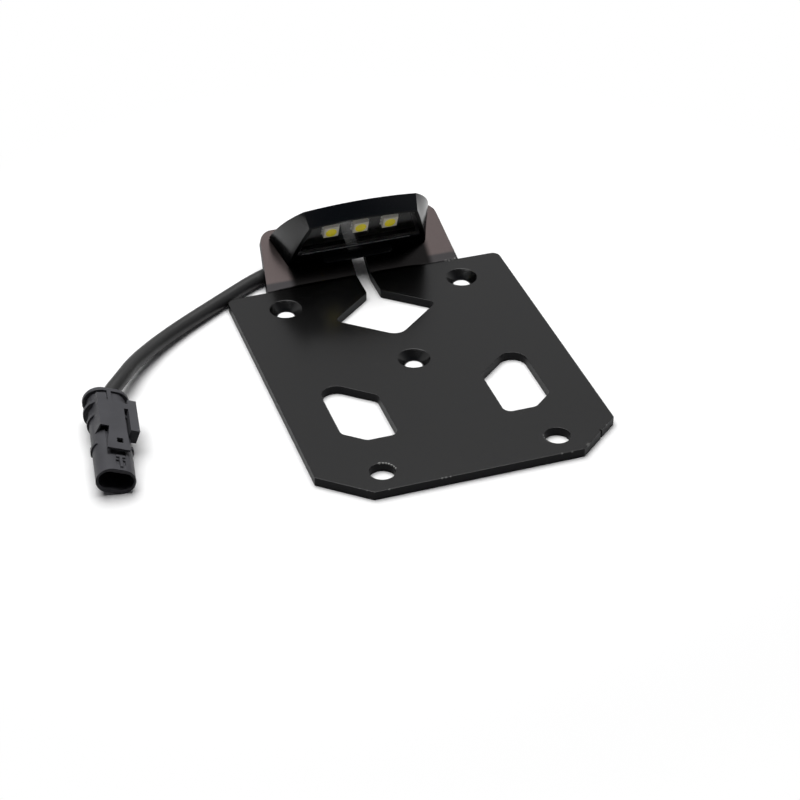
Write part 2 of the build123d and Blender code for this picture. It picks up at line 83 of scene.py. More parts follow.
class Wiring:
    """Adds nodes to one node tree and links them."""

    def __init__(self, tree: bpy.types.NodeTree) -> None:
        """Keeps the tree that the nodes go into."""
        self.tree = tree

    def node(
        self, kind: str, feeds: dict[str, Feed] | dict[int, Feed] | None = None, **settings: object
    ) -> bpy.types.Node:
        """Adds one node.

        Args:
            kind: The node's type, such as ShaderNodeMath.
            feeds: Values or sockets for its inputs, by name or number.
            settings: The node's own properties.

        Returns:
            The node.
        """
        made = self.tree.nodes.new(kind)
        for name, value in settings.items():
            setattr(made, name, value)
        for name, value in (feeds or {}).items():
            self.feed(made.inputs[name], value)
        return made

    def feed(self, socket: bpy.types.NodeSocket, value: Feed) -> None:
        """Links a socket to an input, or sets the input's own value.

        Args:
            socket: The input.
            value: The socket or the plain value that it takes.
        """
        if isinstance(value, bpy.types.NodeSocket):
            self.tree.links.new(value, socket)
        else:
            socket.default_value = value

    def math(self, operation: str, *values: Feed) -> bpy.types.NodeSocket:
        """Adds a sum of one to three values and returns its result."""
        return self.node("ShaderNodeMath", dict(enumerate(values)), operation=operation).outputs[0]

    def vector(self, operation: str, *values: Feed) -> bpy.types.Node:
        """Adds a vector sum and returns its node."""
        return self.node("ShaderNodeVectorMath", dict(enumerate(values)), operation=operation)

    def axes(self, value: Feed) -> bpy.types.bpy_prop_collection:
        """Splits a vector and returns its X, Y and Z."""
        return self.node("ShaderNodeSeparateXYZ", {0: value}).outputs

    def mix(self, share: Feed, first: Feed, second: Feed) -> bpy.types.NodeSocket:
        """Mixes two colours by a share and returns the colour."""
        feeds = {0: share, 6: four(first), 7: four(second)}
        return self.node("ShaderNodeMix", feeds, data_type="RGBA").outputs[2]

    def ramp(self, value: Feed, span: Span, low: float = 0.0, high: float = 1.0) -> bpy.types.NodeSocket:
        """Eases a value from low, at the span's start, to high, at its end, and returns the result."""
        feeds = {0: value, 1: span[0], 2: span[1], 3: low, 4: high}
        return self.node("ShaderNodeMapRange", feeds, interpolation_type="SMOOTHSTEP").outputs[0]

    def noise(self, place: Feed, scale: Feed, detail: float) -> bpy.types.NodeSocket:
        """Adds noise and returns its value."""
        feeds = {"Vector": place, "Scale": scale, "Detail": detail}
        return self.node("ShaderNodeTexNoise", feeds).outputs[0]

    def place(self, kind: str = "Object") -> bpy.types.NodeSocket:
        """Adds texture coordinates, the piece's own unless another kind is named, and returns them."""
        return self.node("ShaderNodeTexCoord").outputs[kind]

    def path(self) -> bpy.types.bpy_prop_collection:
        """Adds what is known of the ray and returns its outputs."""
        return self.node("ShaderNodeLightPath").outputs

    def seen(self) -> bpy.types.NodeSocket:
        """Returns 1 for rays that are seen straight, mirrored or refracted, and 0 for all others."""
        path = self.path()
        straight = self.math("MAXIMUM", path["Is Camera Ray"], path["Is Glossy Ray"])
        return self.math("MAXIMUM", straight, path["Is Transmission Ray"])

    def effect(self, effect: Effect, feeds: dict[str, Feed]) -> bpy.types.bpy_prop_collection:
        """Adds one of the effects and returns its outputs."""
        return self.node("ShaderNodeGroup", feeds, node_tree=Effects.group(effect)).outputs


def four(value: Feed) -> Feed:
    """Gives a plain colour its fourth number, and leaves a socket as it is."""
    return (*value, 1.0) if isinstance(value, tuple) and len(value) == 3 else value


def hole_middles(mount: str) -> list[Place]:
    """Finds the holes of one of the record's mounts.

    Args:
        mount: The mount's name.

    Returns:
        The holes' middles at the plate's underside, from left to right.
    """
    row = next(row for row in frame["record"]["mounts"] if row["name"] == mount)
    x, y, z = row["pos_m"]
    half = row["dims"].get("spacing_x_mm", 0.0) * MM / 2
    return [(x - half, y, z), (x + half, y, z)] if half else [(x, y, z)]


def slot_of(node: str) -> str:
    """Returns the material slot that the record gives a CAD node."""
    return next(row["material_slot"] for row in frame["record"]["subparts"] if row["node"] == node)


class Effects:
    """Builds each effect once."""

    FINE_DETAIL = 3.0
    BROAD_DETAIL = 2.0
    BROAD_RATIO = 25.0
    SPECK_EDGE: Span = (0.22, 0.05)
    RAGGED_SCALE = 2600.0
    RAGGED_DEPTH = 1.6
    SPOT_EDGE: Span = (1.0, 0.55)
    made: dict[Effect, bpy.types.NodeTree] = {}

    @classmethod
    def group(cls, effect: Effect) -> bpy.types.NodeTree:
        """Finds an effect's node group, and builds it at its first use.

        Args:
            effect: The effect.

        Returns:
            Its node group.
        """
        if effect not in cls.made:
            build = {
                Effect.GRAIN: cls.grain,
                Effect.SPECKS: cls.specks,
                Effect.TURNED: cls.turned,
                Effect.SPOT: cls.spot,
            }[effect]
            cls.made[effect] = build(effect.value)
        return cls.made[effect]

    @staticmethod
    def start(name: str, inputs: dict[str, str], outputs: list[str]) -> tuple[Wiring, dict, bpy.types.Node]:
        """Starts a node group.

        Args:
            name: The group's name.
            inputs: Socket kinds by input name.
            outputs: Names of the values that it puts out.

        Returns:
            Its wiring, its input sockets by name, and its output node.
        """
        tree = bpy.data.node_groups.new(name, "ShaderNodeTree")
        for key, kind in inputs.items():
            tree.interface.new_socket(key, in_out="INPUT", socket_type=kind)
        for key in outputs:
            tree.interface.new_socket(key, in_out="OUTPUT", socket_type="NodeSocketFloat")
        wiring = Wiring(tree)
        sockets = {s.name: s for s in wiring.node("NodeGroupInput").outputs}
        return wiring, sockets, wiring.node("NodeGroupOutput")

    @classmethod
    def grain(cls, name: str) -> bpy.types.NodeTree:
        """Builds fine grain, stretched as asked, and broad cloudiness.

        Args:
            name: The group's name.

        Returns:
            The group.
        """
        kinds = {"Scale": "NodeSocketFloat", "Stretch": "NodeSocketVector"}
        wiring, given, out = cls.start(name, kinds, ["Fine", "Broad"])
        stretched = wiring.vector("MULTIPLY", wiring.place(), given["Stretch"]).outputs[0]
        wiring.feed(out.inputs["Fine"], wiring.noise(stretched, given["Scale"], cls.FINE_DETAIL))
        broad_scale = wiring.math("DIVIDE", given["Scale"], cls.BROAD_RATIO)
        wiring.feed(out.inputs["Broad"], wiring.noise(wiring.place(), broad_scale, cls.BROAD_DETAIL))
        return wiring.tree

    @classmethod
    def specks(cls, name: str) -> bpy.types.NodeTree:
        """Builds sparse small specks, such as dust.

        Args:
            name: The group's name.

        Returns:
            The group.
        """
        kinds = {"Scale": "NodeSocketFloat", "Share": "NodeSocketFloat"}
        wiring, given, out = cls.start(name, kinds, ["Mask"])
        cells = wiring.node("ShaderNodeTexVoronoi", {"Vector": wiring.place(), "Scale": given["Scale"]})
        luck = wiring.node("ShaderNodeSeparateColor", {0: cells.outputs["Color"]}).outputs[0]
        chosen = wiring.math("LESS_THAN", luck, given["Share"])
        core = wiring.ramp(cells.outputs["Distance"], cls.SPECK_EDGE)
        wiring.feed(out.inputs["Mask"], wiring.math("MULTIPLY", chosen, core))
        return wiring.tree

    @classmethod
    def turned(cls, name: str) -> bpy.types.NodeTree:
        """Builds the rings that a countersink leaves round a hole's upright axis.

        Args:
            name: The group's name.

        Returns:
            The group.
        """
        kinds = {"Centre": "NodeSocketVector", "Radius": "NodeSocketFloat", "Pitch": "NodeSocketFloat"}
        wiring, given, out = cls.start(name, kinds, ["Rings"])
        flat = wiring.vector("MULTIPLY", wiring.place(), (1.0, 1.0, 0.0)).outputs[0]
        reach = wiring.vector("DISTANCE", flat, given["Centre"]).outputs["Value"]
        turn = wiring.math("MULTIPLY", wiring.math("DIVIDE", reach, given["Pitch"]), 2 * pi)
        rings = wiring.math("MULTIPLY_ADD", wiring.math("SINE", turn), 0.5, 0.5)
        inside = wiring.math("LESS_THAN", reach, given["Radius"])
        wiring.feed(out.inputs["Rings"], wiring.math("MULTIPLY", rings, inside))
        return wiring.tree

    @classmethod
    def spot(cls, name: str) -> bpy.types.NodeTree:
        """Builds one soft, ragged spot, such as a scuff or a chip.

        Args:
            name: The group's name.

        Returns:
            The group.
        """
        kinds = {"Centre": "NodeSocketVector", "Radius": "NodeSocketFloat"}
        wiring, given, out = cls.start(name, kinds, ["Mask"])
        reach = wiring.vector("DISTANCE", wiring.place(), given["Centre"]).outputs["Value"]
        share = wiring.math("DIVIDE", reach, given["Radius"])
        ragged = wiring.noise(wiring.place(), cls.RAGGED_SCALE, cls.BROAD_DETAIL)
        level = wiring.math("SUBTRACT", share, cls.RAGGED_DEPTH / 2)
        edge = wiring.math("MULTIPLY_ADD", ragged, cls.RAGGED_DEPTH, level)
        wiring.feed(out.inputs["Mask"], wiring.ramp(edge, cls.SPOT_EDGE))
        return wiring.tree


@dataclass(frozen=True)
class Finish:
    """A surface finish: plain shader values, and the grain that breaks them up."""

    name: str
    colour: Colour
    roughness: float
    metallic: float = 0.0
    shine: float = 0.5
    grain: float = 3000.0
    grain_span: Span = (0.3, 0.7)
    stretch: Size = (1.0, 1.0, 1.0)
    mottle: float = 0.25
    unevenness: float = 0.08
    relief: float = 0.01 * MM

    def material(self) -> bpy.types.Material:
        """Builds the finish's material.

        Returns:
            The material, with its colour, roughness and relief wired.
        """
        made = bpy.data.materials.new(self.name)
        made.use_nodes = True
        made.node_tree.nodes.clear()
        wiring = Wiring(made.node_tree)
        grain = wiring.effect(Effect.GRAIN, {"Scale": self.grain, "Stretch": self.stretch})
        bump = {"Height": self.height(wiring, grain["Fine"]), "Distance": self.relief, "Strength": 1.0}
        feeds = {
            "Base Color": self.tint(wiring, grain["Broad"]),
            "Metallic": self.metal(wiring),
            "Roughness": self.gloss(wiring, grain["Fine"]),
            "Specular IOR Level": self.shine,
            "Normal": wiring.node("ShaderNodeBump", bump).outputs[0],
        }
        self.close(wiring, wiring.node("ShaderNodeBsdfPrincipled", feeds))
        return made

    def tint(self, wiring: Wiring, broad: Feed) -> Feed:
        """Wires the colour, lighter and darker by the broad grain.

        Args:
            wiring: The material's nodes.
            broad: The broad grain.

        Returns:
            The colour.
        """
        light = tuple(c * (1 + self.mottle) for c in self.colour)
        dark = tuple(c * (1 - self.mottle) for c in self.colour)
        return wiring.mix(broad, dark, light)

    def metal(self, wiring: Wiring) -> Feed:
        """Returns how metallic the surface is."""
        return self.metallic

    def gloss(self, wiring: Wiring, fine: Feed) -> Feed:
        """Returns the roughness, uneven by the fine grain."""
        low, high = self.roughness - self.unevenness, self.roughness + self.unevenness
        return wiring.ramp(fine, self.grain_span, low, high)

    def height(self, wiring: Wiring, fine: Feed) -> Feed:
        """Returns the relief of the surface, which is the fine grain."""
        return fine

    def close(self, wiring: Wiring, shader: bpy.types.Node) -> None:
        """Links the shader to the material's output."""
        wiring.node("ShaderNodeOutputMaterial", {"Surface": shader.outputs[0]})


@dataclass(frozen=True)
class Chip:
    """A spot where the coat is scuffed: its place and radius in millimetres, and how strongly it shows."""

    place: Place
    radius: float
    strength: float


@dataclass(frozen=True)
class WornRim:
    """Chips along part of a hole's rim, in millimetres and degrees."""

    mount: str
    hole: int
    strength: float
    angles: tuple[int, ...]
    radius: float = 4.05
    height: float = 2.95
    chip: float = 0.45

    def chips(self) -> list[Chip]:
        """Places the rim's chips.

        Returns:
            One chip for each angle.
        """
        chips = []
        x, y, _ = (c / MM for c in hole_middles(self.mount)[self.hole])
        for turn in map(radians, self.angles):
            place = (x + cos(turn) * self.radius, y + sin(turn) * self.radius, self.height)
            chips.append(Chip(place, self.chip, self.strength))
        return chips


@dataclass(frozen=True)
class SatinCoat(Finish):
    """The folded sheet's black coat, with a painted brown sheen and painted shade on the flange, turned
    countersinks and a few chips.

    Each rise is a distance up the flange from its foot, and a half is a distance to either side of the
    middle.
    """

    # Painted sheen: this brown metallic tint stands in for the sheen the black coat shows at the flange's
    # angle.
    flange_sheen_colour: Colour = (0.034, 0.0278, 0.0272)
    flange_roughness: float = 0.2
    fold_rise: Span = (-1.7 * MM, -0.9 * MM)
    streak_scale: float = 1500.0
    streak_stretch: Size = (2.4, 0.25, 0.25)
    streak_shade: float = 0.8
    # Painted shade: the flange is darkened towards its fold.
    foot_shade: Colour = (0.45, 0.52, 0.55)
    foot_rise: Span = (1.6 * MM, 2.7 * MM)
    # Painted shade: the flange in front of the lamp is near black, for the lamp's shade and dark reflection
    # there.
    lamp_shade_colour: Colour = (0.003, 0.0028, 0.0028)
    lamp_shade_half: Span = (25.2 * MM, 22.6 * MM)
    lamp_shade_rise: Span = (9.5 * MM, 7.0 * MM)
    edge_colour: Colour = (0.012, 0.012, 0.0125)
    edge_roughness: float = 0.5
    edge_slope: Span = (0.45, 0.15)
    dust_colour: Colour = (0.02, 0.02, 0.0195)
    dust_scale: float = 420.0
    dust_share: float = 0.006
    countersink: float = 5.2 * MM
    ring_pitch: float = 0.42 * MM
    ring_height: float = 3.0
    turned_mounts: tuple[str, ...] = ("centre_hole", "far_holes")
    chip_colour: Colour = (0.3, 0.3, 0.29)
    worn_rims: tuple[WornRim, ...] = (
        WornRim("near_holes", 0, 0.7, (84, 70, 57, 44, 31, 17, 2)),
        WornRim("near_holes", 1, 0.25, (160, 175, 190, 205)),
    )
    worn_spots: tuple[Chip, ...] = (
        Chip((-36.5, -58.1, 2.95), 0.45, 0.6),
        Chip((-34.6, -59.4, 2.95), 0.4, 0.35),
        Chip((-28.2, -60.8, 2.95), 0.4, 0.35),
        Chip((-12.0, -60.8, 2.95), 0.45, 0.3),
        Chip((-10.8, -60.8, 2.95), 0.45, 0.3),
        Chip((-9.4, -60.8, 2.95), 0.4, 0.25),
        Chip((25.4, -60.8, 2.9), 0.45, 0.25),
        Chip((28.6, -60.8, 2.8), 0.4, 0.3),
        Chip((34.5, -59.2, 2.9), 0.9, 0.2),
        Chip((43.3, -51.9, 2.9), 0.4, 0.35),
        Chip((28.7, 51.0, 3.0), 0.55, 0.22),
        Chip((29.8, 50.8, 3.05), 0.6, 0.25),
        Chip((31.0, 51.0, 3.05), 0.55, 0.2),
        Chip((32.0, 51.2, 3.05), 0.5, 0.2),
    )

    def rise(self, wiring: Wiring) -> Feed:
        """Wires how far a point is up the flange.

        Args:
            wiring: The material's nodes.

        Returns:
            The distance from the flange's foot.
        """
        tilt = radians(FLANGE_TILT)
        offset = wiring.vector("SUBTRACT", wiring.place(), FLANGE_FOOT).outputs[0]
        return wiring.vector("DOT_PRODUCT", offset, (0.0, cos(tilt), sin(tilt))).outputs["Value"]

    def on_flange(self, wiring: Wiring) -> Feed:
        """Returns 1 on the flange and 0 on the flat, eased in the fold."""
        return wiring.ramp(self.rise(wiring), self.fold_rise)

    def on_edge(self, wiring: Wiring) -> Feed:
        """Returns 1 on the sheet's cut edges, which stand upright, and 0 on its faces."""
        facing_up = wiring.axes(wiring.place("Normal"))["Z"]
        return wiring.ramp(wiring.math("ABSOLUTE", facing_up), self.edge_slope)

    def painted_flange_sheen(self, wiring: Wiring) -> Feed:
        """Wires the flange's painted brown sheen: streaked, with painted shade at the foot and in front of
        the lamp.

        Args:
            wiring: The material's nodes.

        Returns:
            The colour.
        """
        streaks = wiring.effect(Effect.GRAIN, {"Scale": self.streak_scale, "Stretch": self.streak_stretch})
        streak = tuple(c * self.streak_shade for c in self.flange_sheen_colour)
        plain = wiring.mix(streaks["Fine"], streak, self.flange_sheen_colour)
        rise = self.rise(wiring)
        # Painted shade at the flange's foot.
        dark = tuple(c * shade for c, shade in zip(self.flange_sheen_colour, self.foot_shade))
        shaded = wiring.mix(wiring.ramp(rise, self.foot_rise), dark, plain)
        # Painted shade: near black in front of the lamp.
        across = wiring.math("ABSOLUTE", wiring.axes(wiring.place())["X"])
        middle = wiring.ramp(across, self.lamp_shade_half)
        lamp_shade = wiring.math("MULTIPLY", middle, wiring.ramp(rise, self.lamp_shade_rise))
        return wiring.mix(lamp_shade, shaded, self.lamp_shade_colour)

    def tint(self, wiring: Wiring, broad: Feed) -> Feed:
        """Wires black on the flat, a painted brown sheen with painted shade on the flange, and deep black on
        the edges, with dust and chips.

        Args:
            wiring: The material's nodes.
            broad: The broad grain.

        Returns:
            The colour.
        """
        coat = super().tint(wiring, broad)
        # Painted sheen: the flange takes the brown tint instead of the flat's black.
        coat = wiring.mix(self.on_flange(wiring), coat, self.painted_flange_sheen(wiring))
        coat = wiring.mix(self.on_edge(wiring), coat, self.edge_colour)
        dust = wiring.effect(Effect.SPECKS, {"Scale": self.dust_scale, "Share": self.dust_share})
        coat = wiring.mix(dust["Mask"], coat, self.dust_colour)
        return wiring.mix(self.chipped(wiring), coat, self.chip_colour)

    def chipped(self, wiring: Wiring) -> Feed:
        """Wires how far the coat is scuffed.

        Args:
            wiring: The material's nodes.

        Returns:
            0 on the whole coat, and up to 1 where it is chipped through.
        """
        on_rims = [chip for rim in self.worn_rims for chip in rim.chips()]
        total: Feed = 0.0
        for chip in (*self.worn_spots, *on_rims):
            feeds = {"Centre": tuple(c * MM for c in chip.place), "Radius": chip.radius * MM}
            mask = wiring.math("MULTIPLY", wiring.effect(Effect.SPOT, feeds)["Mask"], chip.strength)
            total = wiring.math("MAXIMUM", mask, total)
        return total

    def gloss(self, wiring: Wiring, fine: Feed) -> Feed:
        """Wires the coat's roughness, lower on the flange and higher on the cut edges.

        Args:
            wiring: The material's nodes.
            fine: The fine grain.

        Returns:
            The roughness.
        """
        flat = super().gloss(wiring, fine)
        change = self.flange_roughness - self.roughness
        folded = wiring.math("MULTIPLY_ADD", self.on_flange(wiring), change, flat)
        cut = wiring.math("MULTIPLY", self.on_edge(wiring), self.edge_roughness)
        return wiring.math("MAXIMUM", folded, cut)

    def metal(self, wiring: Wiring) -> Feed:
        """Returns 1 where the sheet's sheen tints the coat: on the flange and edges, but not in a chip."""
        sheen = wiring.math("MAXIMUM", self.on_flange(wiring), self.on_edge(wiring))
        return wiring.math("SUBTRACT", sheen, wiring.math("MULTIPLY", sheen, self.chipped(wiring)))

    def height(self, wiring: Wiring, fine: Feed) -> Feed:
        """Wires the coat's fine orange peel, with rings in the countersinks.

        Args:
            wiring: The material's nodes.
            fine: The fine grain.

        Returns:
            The relief of the surface.
        """
        total = fine
        for centre in (place for mount in self.turned_mounts for place in hole_middles(mount)):
            feeds = {"Centre": centre, "Radius": self.countersink, "Pitch": self.ring_pitch}
            rings = wiring.effect(Effect.TURNED, feeds)["Rings"]
            total = wiring.math("MULTIPLY_ADD", rings, self.ring_height, total)
        return total


@dataclass(frozen=True)
class Paper(Finish):
    """White paper that looks a little brighter than the light on it, and throws less of that light back."""

    glow: float = 0.005
    bounce: float = 0.14
    plain_reach: Span = (0.12, 0.2)
    plain_white: float = 1.0

    def close(self, wiring: Wiring, shader: bpy.types.Node) -> None:
        """Adds the glow for seen, mirrored and refracted rays, and greys the paper for all others.

        Far from the bracket, where none of its shadow falls, the paper is plain white.

        Args:
            wiring: The material's nodes.
            shader: The paper's own shader.
        """
        glow = wiring.node("ShaderNodeEmission", {"Strength": self.glow})
        white = wiring.node("ShaderNodeAddShader", {0: shader.outputs[0], 1: glow.outputs[0]})
        far = wiring.ramp(wiring.vector("LENGTH", wiring.place()).outputs["Value"], self.plain_reach)
        plain = wiring.node("ShaderNodeEmission", {"Strength": self.plain_white})
        paper = wiring.node("ShaderNodeMixShader", {0: far, 1: white.outputs[0], 2: plain.outputs[0]})
        grey = wiring.node("ShaderNodeBsdfDiffuse", {"Color": four((self.bounce,) * 3)})
        feeds = {0: wiring.seen(), 1: grey.outputs[0], 2: paper.outputs[0]}
        super().close(wiring, wiring.node("ShaderNodeMixShader", feeds))


@dataclass(frozen=True)
class Phosphor(Finish):
    """Phosphor gel, with a faint painted yellow glow that brightens it though the lamp is off."""

    painted_glow: float = 0.13

    def close(self, wiring: Wiring, shader: bpy.types.Node) -> None:
        """Adds the gel's faint painted yellow glow.

        Args:
            wiring: The material's nodes.
            shader: The gel's shader.
        """
        # Painted glow: a faint yellow emission, though the lamp is off.
        wiring.feed(shader.inputs["Emission Color"], four(self.colour))
        wiring.feed(shader.inputs["Emission Strength"], self.painted_glow)
        super().close(wiring, shader)


@dataclass(frozen=True)
class ClearLens(Finish):
    """A clear moulded lens that lets the lamps through to what is behind it."""

    index: float = 1.49

    def close(self, wiring: Wiring, shader: bpy.types.Node) -> None:
        """Makes the shader glass, and clear for rays from lamps.

        Args:
            wiring: The material's nodes.
            shader: The lens's shader.
        """
        wiring.feed(shader.inputs["Transmission Weight"], 1.0)
        wiring.feed(shader.inputs["IOR"], self.index)
        clear = wiring.node("ShaderNodeBsdfTransparent")
        feeds = {0: wiring.path()["Is Shadow Ray"], 1: shader.outputs[0], 2: clear.outputs[0]}
        super().close(wiring, wiring.node("ShaderNodeMixShader", feeds))


class Look(Enum):
    """The finishes that the pieces and the floor wear."""

    COAT = SatinCoat(
        "satin black coat", (0.0005, 0.0005, 0.0005), 0.22, unevenness=0.01, grain=2400.0, relief=0.0018 * MM
    )
    LAMP = Finish(
        "lamp moulding", (0.002, 0.0022, 0.0027), 0.22, unevenness=0.04, grain=4200.0, relief=0.004 * MM
    )
    LENS = ClearLens("clear lens", (1.0, 1.0, 1.0), 0.02, mottle=0.0, unevenness=0.01, relief=0.0004 * MM)
    RUBBER = Finish("black rubber", (0.012, 0.012, 0.012), 0.7, grain=2600.0, relief=0.02 * MM)
    BOARD = Finish("black solder mask", (0.002, 0.0022, 0.002), 0.4, grain=1500.0)
    RESISTOR = Finish("resistor body", (0.012, 0.012, 0.013), 0.5, grain=5000.0)
    LED = Finish("white package", (0.93, 0.88, 0.75), 0.45, mottle=0.03, grain=6000.0, relief=0.004 * MM)
    PHOSPHOR = Phosphor("phosphor gel", (0.92, 0.77, 0.012), 0.35, mottle=0.1, grain=7000.0)
    TIN = Finish("tinned metal", (0.75, 0.75, 0.73), 0.25, metallic=1.0, mottle=0.08, grain=5000.0)
    SOLDER = Finish("solder", (0.85, 0.84, 0.8), 0.45, metallic=0.3, mottle=0.1, grain=6000.0)
    STEEL = Finish(
        "stainless steel", (0.55, 0.55, 0.56), 0.3, metallic=1.0, mottle=0.1, stretch=(1.0, 1.0, 6.0)
    )
    BRASS = Finish("brass", (0.78, 0.57, 0.27), 0.3, metallic=1.0, mottle=0.1, stretch=(1.0, 1.0, 6.0))
    # Painted highlight: a pale grey for the bright line along the lens's lower edge.
    SEALANT = Finish("painted lens glint", (0.5, 0.5, 0.49), 0.25, mottle=0.3, grain=2500.0, relief=0.02 * MM)
    INSULATION = Finish("core insulation", (0.03, 0.03, 0.03), 0.5)
    SHEATH = Finish(
        "rubber sheath", (0.026, 0.0258, 0.026), 0.43, shine=0.3, grain=2600.0, relief=0.015 * MM
    )
    CONNECTOR = Finish("dark grey moulding", (0.067, 0.067, 0.0735), 0.45, shine=0.12, grain=3200.0)
    PAPER = Paper("white paper", (0.97, 0.97, 0.97), 0.9, shine=0.1, mottle=0.0, grain=400.0, relief=0.0)


NODE_LOOKS: dict[str, Look] = {
    "mount_plate": Look.COAT,
    "lamp_housing": Look.LAMP,
    "lamp_lens": Look.LENS,
    "lens_seal": Look.RUBBER,
    "led_board": Look.BOARD,
    "led_packages": Look.LED,
    "led_phosphors": Look.PHOSPHOR,
    "led_leads": Look.SOLDER,
    "board_resistors": Look.RESISTOR,
    "base_gasket": Look.RUBBER,
    "threaded_inserts": Look.BRASS,
    "screw_washers": Look.STEEL,
    "lamp_screws": Look.STEEL,
    "cable_grommet": Look.RUBBER,
    "core_wires": Look.INSULATION,
    "connector_housing": Look.CONNECTOR,
    "connector_rear_cap": Look.CONNECTOR,
    "wire_seal": Look.RUBBER,
    "terminal_carrier": Look.CONNECTOR,
    "connector_terminals": Look.TIN,
    "cable_sheath": Look.SHEATH,
}
EDGE_WIDTHS: dict[str, float] = {
    "mount_plate": 0.1 * MM,
    "lamp_housing": 0.5 * MM,
    "connector_housing": 0.22 * MM,
    "connector_rear_cap": 0.3 * MM,
}


class Wardrobe:
    """Builds each look's material once and puts it on pieces."""

    def __init__(self) -> None:
        """Starts with no material built."""
        self.made: dict[Look, bpy.types.Material] = {}

    def dress(self, piece: bpy.types.Object, look: Look) -> None:
        """Gives a piece one look all over.

        Args:
            piece: The piece.
            look: The look, whose material is built at its first use.
        """
        if look not in self.made:
            self.made[look] = look.value.material()
        piece.data.materials.clear()
        piece.data.materials.append(self.made[look])


@dataclass
class SoftEdges:
    """A copy of a CAD node whose sharp edges are rounded as the real piece's are. Angles are in degrees."""

    node: str
    width: float
    segments: int = 2
    least_angle: float = 25.0
    merge: float = 0.002 * MM
    flat_angle: float = 0.3
    smooth_angle: float = 30.0

    def build(self) -> bpy.types.Object:
        """Copies the node, joins its triangles to faces and rounds its edges.

        Returns:
            The rounded piece, which stands for the node.
        """
        source = frame["nodes"][self.node]
        piece = bpy.data.objects.new(f"{self.node}_piece", source.data.copy())
        bpy.context.scene.collection.objects.link(piece)
        bpy.ops.object.select_all(action="DESELECT")
        piece.select_set(True)
        bpy.context.view_layer.objects.active = piece
        bpy.ops.mesh.customdata_custom_splitnormals_clear()
        bpy.ops.object.mode_set(mode="EDIT")
        bpy.ops.mesh.select_all(action="SELECT")
        bpy.ops.mesh.remove_doubles(threshold=self.merge)
        bpy.ops.mesh.dissolve_limited(angle_limit=radians(self.flat_angle))
        bpy.ops.object.mode_set(mode="OBJECT")
        bevel = piece.modifiers.new("edges", "BEVEL")
        bevel.width = self.width
        bevel.segments = self.segments
        bevel.limit_method = "ANGLE"
        bevel.angle_limit = radians(self.least_angle)
        bpy.ops.object.modifier_apply(modifier=bevel.name)
        bpy.ops.object.shade_smooth_by_angle(angle=radians(self.smooth_angle))
        weighted = piece.modifiers.new("flat faces", "WEIGHTED_NORMAL")
        weighted.keep_sharp = True
        bpy.ops.object.modifier_apply(modifier=weighted.name)
        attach(piece, BODY)
        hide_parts(self.node)
        slot_of(self.node)
        return piece


class Bar:
    """A small bar that is rounded off and then seated on a tilted face."""

    SEGMENTS = 4

    def __init__(self, name: str, size: Size) -> None:
        """Makes the bar, with its middle at the origin.

        Args:
            name: The piece's name.
            size: Its length along each axis.
        """
        bpy.ops.object.select_all(action="DESELECT")
        bpy.ops.mesh.primitive_cube_add(size=1.0)
        self.piece = bpy.context.active_object
        self.piece.name = name
        self.piece.scale = size
        bpy.ops.object.transform_apply(location=False, rotation=False, scale=True)

    def round_off(self, chosen: Callable[[Vector, Vector], bool], size: float) -> None:
        """Rounds the edges that a test on their two ends picks out.

        Args:
            chosen: The test.
            size: How much is taken off each side of an edge.
        """
        bpy.ops.object.mode_set(mode="EDIT")
        bpy.ops.mesh.select_mode(type="EDGE")
        bpy.ops.mesh.select_all(action="DESELECT")
        bpy.ops.object.mode_set(mode="OBJECT")
        for edge in self.piece.data.edges:
            edge.select = chosen(*(self.piece.data.vertices[i].co for i in edge.vertices))
        bpy.ops.object.mode_set(mode="EDIT")
        bpy.ops.mesh.bevel(offset=size, segments=self.SEGMENTS)
        bpy.ops.object.mode_set(mode="OBJECT")

    def seat(self, origin: Vector, tilt: float, offset: Vector) -> None:
        """Moves the bar to a face, which leaves its own origin at the frame's.

        Args:
            origin: A point of the face.
            tilt: The face's turn about X, in degrees.
            offset: Where the bar's middle is from that point, along the tilted axes.
        """
        turn = Matrix.Rotation(radians(tilt), 4, "X")
        self.piece.matrix_world = Matrix.Translation(origin) @ turn @ Matrix.Translation(offset)
        bpy.ops.object.transform_apply(location=True, rotation=True, scale=True)


@dataclass
class LensGlintBead:
    """A pale bead along the lens's foot, in the corner between the sill and the lens, that paints the
    highlight on the lens's lower edge.
    """

    face_origin: Place = (0.0, 58.111 * MM, 7.777 * MM)
    face_tilt: float = 114.3
    sill: float = 3.9 * MM
    recess: float = 0.4 * MM
    middle: float = -0.7 * MM
    length: float = 37.0 * MM
    size: float = 0.18 * MM
    rounding: float = 0.7

    def build(self, wardrobe: Wardrobe) -> bpy.types.Object:
        """Makes the bead from a bar whose outer edge is rounded.

        Args:
            wardrobe: Where its look comes from.

        Returns:
            The bead.
        """
        bar = Bar("lens_glint_bead", (self.length, self.size, self.size))
        bar.round_off(self.is_outer, self.size * self.rounding)
        corner = Vector((self.middle, self.sill + self.size / 2, self.size / 2 - self.recess))
        bar.seat(Vector(self.face_origin), self.face_tilt, corner)
        # Painted highlight: the pale bead stands in for the light on the lens's lower edge.
        wardrobe.dress(bar.piece, Look.SEALANT)
        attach(bar.piece, BODY)
        return bar.piece

    @staticmethod
    def is_outer(start: Vector, end: Vector) -> bool:
        """Tells whether an edge is the long one away from both the sill and the lens."""
        return min(start.y, end.y, start.z, end.z) > 0


